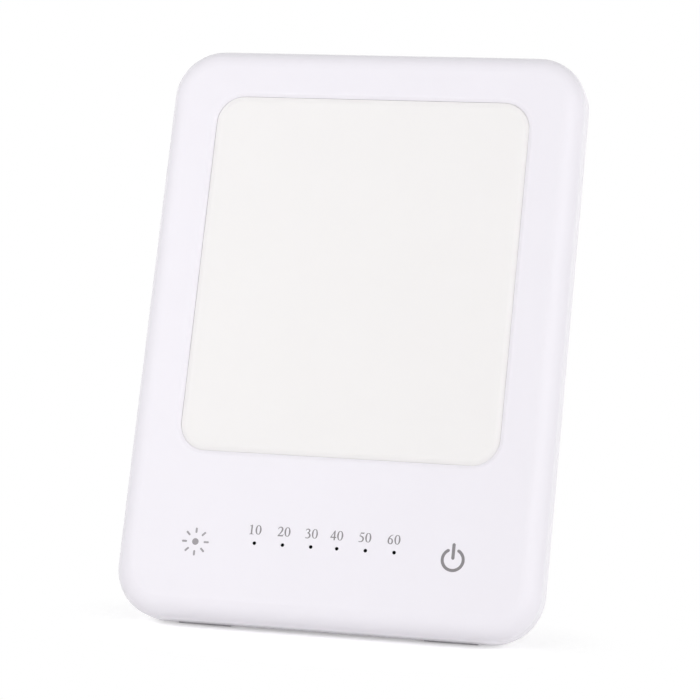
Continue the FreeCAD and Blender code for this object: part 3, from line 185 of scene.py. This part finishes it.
def dress_casing():
    """The two shells, the leg, the window's panel and seal, the indicators' pipes and the rubber."""
    dress(finish("casing_front", srgb(247, 244, 250), roughness=0.25, grain_mm=0.9, grain_um=2.0,
                 mottle=0.004, specular_ior_level=0.5), "front_bezel")
    dress(finish("casing_rear", srgb(243, 240, 245), roughness=0.50, grain_mm=0.35, grain_um=18.0,
                 mottle=0.01), "rear_cover", "hinge_caps", "stand_leg")
    dress(finish("opal_panel", srgb(248, 246, 245), roughness=0.36, grain_mm=0.5, grain_um=1.5,
                 mottle=0.003), "diffuser_panel")
    dress(finish("rubber_pale", srgb(232, 230, 233), roughness=0.75, grain_mm=0.25, grain_um=25.0,
                 mottle=0.03, patch_mm=6.0), "base_feet", "stand_foot_pad")
    dress(finish("smoked_pipe", srgb(6, 6, 7), roughness=0.3, grain_mm=0.5, grain_um=1.0,
                 mottle=0.05, specular_ior_level=0.04), "indicator_lens_strip")
    dress(finish("foam_white", srgb(228, 227, 226), roughness=0.9, grain_mm=0.3, grain_um=60.0,
                 mottle=0.05, patch_mm=3.0), "diffuser_seal")
    dress(finish("washer_nylon", srgb(226, 226, 222), roughness=0.45, grain_mm=0.3, grain_um=5.0),
          "hinge_washers")


def dress_inside():
    """What the casing holds."""
    dress(finish("clear_acrylic", srgb(245, 248, 249), roughness=0.03, grain_mm=2.0, grain_um=0.5,
                 transmission_weight=0.95, ior=1.49), "light_guide_plate")
    dress(finish("reflector_white", srgb(249, 249, 248), roughness=0.6, grain_mm=0.2, grain_um=4.0),
          "reflector_sheet")
    dress(finish("tray_aluminium", srgb(208, 209, 212), roughness=0.34, grain_mm=0.15, grain_um=6.0,
                 stretch=(1, 0.03, 0.03), metallic=1.0), "light_tray")
    dress(finish("strip_board", srgb(240, 240, 236), roughness=0.35, grain_mm=0.4, grain_um=3.0),
          "led_strip_left", "led_strip_right")
    dress(finish("led_phosphor", srgb(246, 222, 120), roughness=0.3, grain_mm=0.3, grain_um=8.0,
                 mottle=0.05, patch_mm=1.0), "led_chips_left", "led_chips_right", "indicator_leds")
    dress(finish("board_green", srgb(28, 96, 62), roughness=0.32, grain_mm=0.5, grain_um=6.0,
                 mottle=0.06, patch_mm=4.0), "main_board")
    dress(finish("spring_steel", srgb(200, 201, 205), roughness=0.22, grain_mm=0.1, grain_um=2.0,
                 metallic=1.0), "brightness_touch_spring", "power_touch_spring")
    dress(finish("black_package", srgb(36, 36, 37), roughness=0.5, grain_mm=0.12, grain_um=8.0),
          "driver_chip")
    dress(finish("ferrite", srgb(62, 62, 66), roughness=0.6, grain_mm=0.2, grain_um=20.0,
                 mottle=0.08, patch_mm=1.0), "driver_inductor")
    dress(finish("capacitor_can", srgb(186, 190, 198), roughness=0.28, grain_mm=0.2, grain_um=3.0,
                 metallic=1.0), "filter_capacitors")
    dress(finish("connector_nylon", srgb(238, 234, 222), roughness=0.45, grain_mm=0.3,
                 grain_um=5.0), "led_connectors")
    dress(finish("lead_red", srgb(176, 40, 34), roughness=0.5, grain_mm=0.2, grain_um=5.0),
          "led_lead_left", "led_lead_right")


def dress_metal():
    """The inlet, the screws and the leg's pin."""
    dress(finish("jack_black", srgb(34, 34, 36), roughness=0.42, grain_mm=0.2, grain_um=10.0),
          "dc_jack_housing")
    dress(finish("pin_brass", srgb(222, 196, 130), roughness=0.2, grain_mm=0.1, grain_um=2.0,
                 metallic=1.0), "dc_jack_pin")
    dress(finish("screw_black", srgb(48, 48, 50), roughness=0.38, grain_mm=0.1, grain_um=5.0,
                 metallic=0.8), "case_screws")
    dress(finish("screw_zinc", srgb(196, 199, 203), roughness=0.3, grain_mm=0.1, grain_um=4.0,
                 metallic=1.0), "tray_screws", "board_screws", "hinge_cap_screws")
    dress(finish("pin_steel", srgb(190, 192, 196), roughness=0.22, grain_mm=0.15, grain_um=2.0,
                 stretch=(1, 0.05, 0.05), metallic=1.0), "hinge_pin")


# ---- outlines, lists of points (x, y) ------------------------------------------------------------

ROUND_STEPS = 8
CIRCLE_STEPS = 40
ARC_STEPS = 48
SPLINE_STEPS = 6


def polar(centre, reach, degrees):
    """The point at that reach from a centre, counted anticlockwise from the right."""
    angle = math.radians(degrees)
    return centre[0] + reach * math.cos(angle), centre[1] + reach * math.sin(angle)


def circle(centre, radius):
    """The outline of a circle."""
    return [polar(centre, radius, 360 * step / CIRCLE_STEPS) for step in range(CIRCLE_STEPS)]


def half_round(centre, radius, first):
    """Half a circle, anticlockwise from an angle."""
    return [polar(centre, radius, first + 180 * step / ROUND_STEPS) for step in range(ROUND_STEPS + 1)]


def capsule(start, end, width):
    """The outline of a line with round ends."""
    heading = math.degrees(math.atan2(end[1] - start[1], end[0] - start[0]))
    return half_round(end, width / 2, heading - 90) + half_round(start, width / 2, heading + 90)


def arc_band(centre, radius, width, first, last):
    """The outline of an arc with round ends, anticlockwise from one angle to another."""
    turns = [first + (last - first) * step / ARC_STEPS for step in range(ARC_STEPS + 1)]
    outer = [polar(centre, radius + width / 2, turn) for turn in turns]
    inner = [polar(centre, radius - width / 2, turn) for turn in reversed(turns)]
    last_end = half_round(polar(centre, radius, last), width / 2, last)[1:-1]
    first_end = half_round(polar(centre, radius, first), width / 2, first + 180)[1:-1]
    return outer + last_end + inner + first_end


def spline(points):
    """Points on a smooth line through points, which are tuples of equal length."""
    ends = [points[0]] + list(points) + [points[-1]]
    line = []
    for p0, p1, p2, p3 in zip(ends, ends[1:], ends[2:], ends[3:]):
        for step in range(SPLINE_STEPS):
            t = step / SPLINE_STEPS
            line.append(tuple(
                0.5 * (2 * b + (c - a) * t + (2 * a - 5 * b + 4 * c - d) * t * t
                       + (3 * b - a - 3 * c + d) * t ** 3)
                for a, b, c, d in zip(p0, p1, p2, p3)))
    line.append(points[-1])
    return line


def pen(points):
    """The outline of a pen stroke through points (x, y, width)."""
    line = spline(points)
    left, right = [], []
    for index, (x, y, width) in enumerate(line):
        before = line[max(index - 1, 0)]
        after = line[min(index + 1, len(line) - 1)]
        heading = math.atan2(after[1] - before[1], after[0] - before[0])
        dx, dy = -math.sin(heading) * width / 2, math.cos(heading) * width / 2
        left.append((x + dx, y + dy))
        right.append((x - dx, y - dy))
    return left + right[::-1]


# Each digit is one unit high and is centred on x = 0. A stroke is a pen line, thick and thin as in
# a book face, and the other shapes are plain outlines.
ONE = [[(-0.24, 0), (0.24, 0), (0.24, 0.035), (0.12, 0.05), (0.075, 0.11), (0.075, 1.0), (0.03, 1.0),
        (-0.22, 0.875), (-0.205, 0.835), (-0.11, 0.865), (-0.075, 0.83), (-0.075, 0.11), (-0.12, 0.05),
        (-0.24, 0.035)]]
TWO = [pen([(-0.28, 0.73, 0.05), (-0.2, 0.88, 0.08), (-0.02, 0.955, 0.1), (0.14, 0.87, 0.15),
            (0.165, 0.67, 0.16), (0.04, 0.42, 0.12), (-0.13, 0.2, 0.09), (-0.25, 0.07, 0.08)]),
       [(-0.31, 0), (0.25, 0), (0.33, 0.24), (0.295, 0.25), (0.22, 0.14), (0.14, 0.125), (-0.2, 0.125),
        (-0.31, 0.04)]]
THREE = [pen([(-0.25, 0.79, 0.05), (-0.17, 0.91, 0.09), (-0.01, 0.95, 0.11), (0.13, 0.85, 0.15),
              (0.11, 0.69, 0.13), (-0.02, 0.58, 0.08), (-0.1, 0.53, 0.05)]),
         pen([(-0.1, 0.545, 0.05), (0.04, 0.53, 0.1), (0.18, 0.4, 0.15), (0.19, 0.2, 0.15),
              (0.04, 0.05, 0.1), (-0.12, 0.03, 0.08), (-0.26, 0.06, 0.1)])]
FOUR = [[(0.06, 0), (0.2, 0), (0.2, 1.0), (0.12, 1.0), (0.06, 0.9)],
        [(-0.31, 0.235), (0.33, 0.235), (0.33, 0.345), (-0.31, 0.345)],
        [(-0.31, 0.29), (-0.22, 0.29), (0.16, 0.93), (0.12, 1.0)]]
FIVE = [[(-0.12, 0.87), (0.24, 0.87), (0.3, 1.0), (-0.07, 1.0)],
        [(-0.09, 0.99), (-0.04, 0.99), (-0.16, 0.6), (-0.22, 0.6)],
        pen([(-0.2, 0.625, 0.06), (-0.04, 0.61, 0.12), (0.15, 0.49, 0.15), (0.19, 0.28, 0.15),
             (0.08, 0.1, 0.12), (-0.1, 0.03, 0.08), (-0.26, 0.07, 0.1)])]
SIX = [pen([(0.26, 0.985, 0.03), (0.05, 0.89, 0.09), (-0.14, 0.67, 0.13), (-0.215, 0.4, 0.15),
            (-0.18, 0.16, 0.14), (-0.03, 0.035, 0.08), (0.13, 0.09, 0.12), (0.205, 0.29, 0.15),
            (0.14, 0.5, 0.12), (0.0, 0.58, 0.08), (-0.16, 0.5, 0.05)])]
# A zero is two halves that overlap a little.
ZERO_LAP = 0.004
ZERO_HALF = pen([(0.0, 0.97, 0.06), (-0.16, 0.86, 0.11), (-0.235, 0.5, 0.16), (-0.16, 0.14, 0.11),
                 (0.0, 0.03, 0.06)])
ZERO = [[(x - ZERO_LAP, y) for x, y in ZERO_HALF], [(ZERO_LAP - x, y) for x, y in ZERO_HALF]]
TENS = [ONE, TWO, THREE, FOUR, FIVE, SIX]


# ---- printed symbols, in the panel's frame -------------------------------------------------------

INK_LIFT = 0.02
INK_SINK = 0.01

SUN = (-54.0, 30.96)
SUN_DISC = 1.36
RAYS = 8
RAY_REACH = (3.88, 5.28)
RAY_WIDTH = 0.8

POWER = (51.91, 30.58)
POWER_RADIUS = 4.19
POWER_WIDTH = 1.22
POWER_SWEEP = (120, 420)
POWER_BAR = (0.7, 6.0)
POWER_BAR_WIDTH = 1.28

DIGIT_HEIGHT = 3.86
DIGIT_BASE = 35.4
DIGIT_DROP = 0.055
DIGIT_PITCH = 2.8
TENS_X = (-31.02, -18.97, -7.63, 2.79, 14.3, 26.17)


def prism(outline):
    """Vertices and faces of a thin print with that outline."""
    count = len(outline)
    vertices = [(x, y, PANEL_DEPTH - INK_SINK) for x, y in outline]
    vertices += [(x, y, PANEL_DEPTH + INK_LIFT) for x, y in outline]
    faces = [tuple(range(count - 1, -1, -1)), tuple(range(count, 2 * count))]
    faces += [(i, (i + 1) % count, count + (i + 1) % count, count + i) for i in range(count)]
    return vertices, faces


def prints(name, outlines):
    """One object that holds a print for each outline."""
    vertices, faces = [], []
    for outline in outlines:
        start = len(vertices)
        more_vertices, more_faces = prism(outline)
        vertices += more_vertices
        faces += [tuple(start + i for i in face) for face in more_faces]
    mesh = bpy.data.meshes.new(name)
    mesh.from_pydata(vertices, [], faces)
    outward = bmesh.new()
    outward.from_mesh(mesh)
    bmesh.ops.recalc_face_normals(outward, faces=outward.faces)
    outward.to_mesh(mesh)
    outward.free()
    return new_object(name, mesh)


def joined_prints(name, outlines):
    """One object that is the union of the prints with those outlines."""
    parts = [prints(f"{name}_{i}", [outline]) for i, outline in enumerate(outlines)]
    whole, others = parts[0], parts[1:]
    for other in others:
        joining = whole.modifiers.new("join", "BOOLEAN")
        joining.operation = "UNION"
        joining.solver = "EXACT"
        joining.object = other
    graph = bpy.context.evaluated_depsgraph_get()
    mesh = bpy.data.meshes.new_from_object(whole.evaluated_get(graph))
    for part in parts:
        bpy.data.objects.remove(part)
    return new_object(name, mesh)


def on_panel(piece, material):
    """Bring a piece drawn in the panel's frame into the row frame and let it ride on the lamp."""
    piece.data.transform(PANEL)
    piece.data.materials.clear()
    piece.data.materials.append(material)
    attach(piece, "lamp_body")


def print_sun(ink):
    """The brightness key's sun: a disc and its rays."""
    shapes = [circle(SUN, SUN_DISC)]
    for ray in range(RAYS):
        start, end = (polar(SUN, reach, 360 * ray / RAYS) for reach in RAY_REACH)
        shapes.append(capsule(start, end, RAY_WIDTH))
    on_panel(prints("printed_sun", shapes), ink)


def print_power(ink):
    """The power key's symbol: an open ring and a bar."""
    ring = arc_band(POWER, POWER_RADIUS, POWER_WIDTH, *POWER_SWEEP)
    start, end = (polar(POWER, reach, 90) for reach in POWER_BAR)
    on_panel(prints("printed_power", [ring, capsule(start, end, POWER_BAR_WIDTH)]), ink)


def print_digit(name, digit, x, base, ink):
    """One digit, centred on x and standing on base."""
    outlines = [[(x + DIGIT_HEIGHT * px, base + DIGIT_HEIGHT * py) for px, py in shape]
                for shape in digit]
    on_panel(joined_prints(name, outlines), ink)


def print_numbers(ink):
    """The timer's numbers, 10 to 60, each a hair lower than the one before."""
    for index, (digit, x) in enumerate(zip(TENS, TENS_X)):
        base = DIGIT_BASE - DIGIT_DROP * index
        name = f"printed_{index + 1}0"
        print_digit(name + "_tens", digit, x, base, ink)
        print_digit(name + "_units", ZERO, x + DIGIT_PITCH, base, ink)


def print_symbols():
    """All the print on the front casing."""
    ink_grain = {"roughness": 0.45, "grain_mm": 0.3, "grain_um": 2.0, "mottle": 0.03, "patch_mm": 2.0}
    ink = finish("printed_ink", srgb(139, 135, 138), **ink_grain)
    faint = finish("printed_ink_faint", srgb(163, 159, 163), **ink_grain)
    print_sun(faint)
    print_power(ink)
    print_numbers(ink)


# ---- room ----------------------------------------------------------------------------------------
# The camera, mirrors and clear bodies see a white room. What lights the lamp is a dim sky and a pale
# floor. Near the lamp the camera sees a matt floor that keeps its shadow. That one is brighter than
# the floor that lights the lamp, so that it comes out white where no shadow falls. Further out the
# camera sees plain white.

WHITE = (1, 1, 1, 1)
SKY_COLOUR = (0.985, 0.98, 1.0, 1)
SKY_STRENGTH = 0.25
FLOOR_SIZE = 8.0
FLOOR_ALBEDO = 0.90
FLOOR_SEEN = 1.35
SHADOW_LIFT = 0.2
# Where the shadow's fade starts and ends, in metres from the lamp's lower edge and from its leg.
EDGE_SHADOW = (0.015, 0.05)
LEG_SHADOW = (0.03, 0.07)
EDGE_SQUEEZE = (0.38, 1, 0)


def seen_by_camera(tree):
    """1 for rays that come from the camera, a mirror or a clear body, 0 for the rest."""
    path = tree.nodes.new("ShaderNodeLightPath")
    seen = path.outputs["Is Camera Ray"]
    for kind in ("Is Glossy Ray", "Is Transmission Ray"):
        either = tree.nodes.new("ShaderNodeMath")
        either.operation = "MAXIMUM"
        tree.links.new(seen, either.inputs[0])
        tree.links.new(path.outputs[kind], either.inputs[1])
        seen = either.outputs["Value"]
    return seen


def mixed(tree, share, first, second):
    """A mix of two shaders, of which the second has that share."""
    mix = tree.nodes.new("ShaderNodeMixShader")
    tree.links.new(share, mix.inputs["Fac"])
    tree.links.new(first, mix.inputs[1])
    tree.links.new(second, mix.inputs[2])
    return mix.outputs["Shader"]


def background(tree, colour, strength):
    """The shader of a world of one colour."""
    node = tree.nodes.new("ShaderNodeBackground")
    node.inputs["Color"].default_value = colour
    node.inputs["Strength"].default_value = strength
    return node.outputs["Background"]


def white_world():
    """A world that looks white and is a dim light."""
    world = bpy.data.worlds.new("room")
    world.use_nodes = True
    bpy.context.scene.world = world
    tree = world.node_tree
    tree.nodes.clear()
    light = background(tree, SKY_COLOUR, SKY_STRENGTH)
    white = background(tree, WHITE, 1.0)
    out = tree.nodes.new("ShaderNodeOutputWorld")
    tree.links.new(mixed(tree, seen_by_camera(tree), light, white), out.inputs["Surface"])


def distance(tree, place, point):
    """How far a place is from a point."""
    node = tree.nodes.new("ShaderNodeVectorMath")
    node.operation = "DISTANCE"
    tree.links.new(place, node.inputs[0])
    node.inputs[1].default_value = point
    return node.outputs["Value"]


def fade_to_white(tree, away, reach):
    """The share of plain white at a distance, from SHADOW_LIFT up to 1 between the two reaches."""
    fade = tree.nodes.new("ShaderNodeMapRange")
    fade.interpolation_type = "SMOOTHSTEP"
    fade.inputs["From Min"].default_value, fade.inputs["From Max"].default_value = reach
    fade.inputs["To Min"].default_value = SHADOW_LIFT
    tree.links.new(away, fade.inputs["Value"])
    return fade.outputs["Result"]


def away_from_contact(tree):
    """The fade to white from the shadows under the lamp's lower edge and under its leg.

    The first lies along X, so X is squeezed before its distance is taken.
    """
    place = tree.nodes.new("ShaderNodeTexCoord").outputs["Object"]
    squeezed = tree.nodes.new("ShaderNodeVectorMath")
    squeezed.operation = "MULTIPLY"
    squeezed.inputs[1].default_value = EDGE_SQUEEZE
    tree.links.new(place, squeezed.inputs[0])
    edge_y = mount("desk_rest_right")["pos_m"][1]
    from_edge = distance(tree, squeezed.outputs["Vector"], (0, edge_y, 0))
    from_leg = distance(tree, place, mount("stand_rest")["pos_m"])
    nearest = tree.nodes.new("ShaderNodeMath")
    nearest.operation = "MINIMUM"
    tree.links.new(fade_to_white(tree, from_edge, EDGE_SHADOW), nearest.inputs[0])
    tree.links.new(fade_to_white(tree, from_leg, LEG_SHADOW), nearest.inputs[1])
    return nearest.outputs["Value"]


def matt(tree, level):
    """A matt grey or white shader."""
    node = tree.nodes.new("ShaderNodeBsdfDiffuse")
    node.inputs["Color"].default_value = (level, level, level, 1)
    return node.outputs["BSDF"]


def white_floor():
    """A white floor that keeps the lamp's shadow."""
    bpy.ops.mesh.primitive_plane_add(size=FLOOR_SIZE, location=(0, 0, 0))
    floor = bpy.context.object
    floor.name = "floor"
    material = bpy.data.materials.new("floor_white")
    material.use_nodes = True
    tree = material.node_tree
    tree.nodes.clear()
    white = tree.nodes.new("ShaderNodeEmission")
    white.inputs["Strength"].default_value = 1.0
    view = mixed(tree, away_from_contact(tree), matt(tree, FLOOR_SEEN), white.outputs["Emission"])
    out = tree.nodes.new("ShaderNodeOutputMaterial")
    whole = mixed(tree, seen_by_camera(tree), matt(tree, FLOOR_ALBEDO), view)
    tree.links.new(whole, out.inputs["Surface"])
    floor.data.materials.append(material)


# ---- lights --------------------------------------------------------------------------------------

LAMP_MIDDLE = Vector((0, 0, 0.11))
SOFTBOX_RISE = 20
# Name, azimuth, elevation, distance in metres, the angle that it takes up from side to side seen from
# the lamp, and radiance, where 1 is white. Azimuth 0 is straight in front and grows towards +X.
SOFTBOXES = [
    ("left_softbox", -45, 30, 1.5, 52, 4.30),
    ("right_softbox", 45, 30, 3.0, 52, 2.85),
    ("far_right_softbox", 75, 10, 3.0, 60, 2.23),
    ("back_softbox", 180, 6, 3.0, 84, 3.2),
]


def softbox(name, azimuth, elevation, away, across, radiance):
    """A soft light aimed at the lamp's middle, which shows in no gloss.

    A flat light's radiance is its power divided by pi times its area.
    """
    turn, lift = math.radians(azimuth), math.radians(elevation)
    way = Vector((math.sin(turn) * math.cos(lift), -math.cos(turn) * math.cos(lift), math.sin(lift)))
    light = bpy.data.lights.new(name, "AREA")
    light.shape = "RECTANGLE"
    light.size = 2 * away * math.tan(math.radians(across / 2))
    light.size_y = 2 * away * math.tan(math.radians(SOFTBOX_RISE / 2))
    light.energy = math.pi * light.size * light.size_y * radiance
    holder = new_object(name, light)
    holder.location = LAMP_MIDDLE + way * away
    holder.rotation_euler = way.to_track_quat("Z", "Y").to_euler()
    holder.visible_glossy = False
    holder.visible_camera = False


# ---- camera --------------------------------------------------------------------------------------
# Its place in millimetres and the directions to its right and behind it, fitted to the outline of
# the casing and the window.

SENSOR = 36.0
FOCAL_PIXELS = 2704.98
IMAGE_WIDTH = 700
CAMERA_PLACE = Vector((277.4, -1047.1, 307.8))
CAMERA_RIGHT = Vector((0.9663, 0.2575, 0.0))
CAMERA_BACK = Vector((0.2532, -0.9502, 0.1816))


def photo_camera():
    """The camera at the photograph's viewing angle."""
    camera = bpy.data.cameras.new("photo_camera")
    camera.sensor_width = SENSOR
    camera.lens = SENSOR * FOCAL_PIXELS / IMAGE_WIDTH
    holder = new_object("photo_camera", camera)
    back = CAMERA_BACK.normalized()
    up = back.cross(CAMERA_RIGHT).normalized()
    right = up.cross(back)
    turn = Matrix((right, up, back)).transposed().to_4x4()
    holder.matrix_world = Matrix.Translation(CAMERA_PLACE * MM) @ turn
    bpy.context.scene.camera = holder


dress_casing()
dress_inside()
dress_metal()
print_symbols()
white_world()
white_floor()
for row in SOFTBOXES:
    softbox(*row)
photo_camera()
bpy.context.scene.view_settings.view_transform = "Standard"
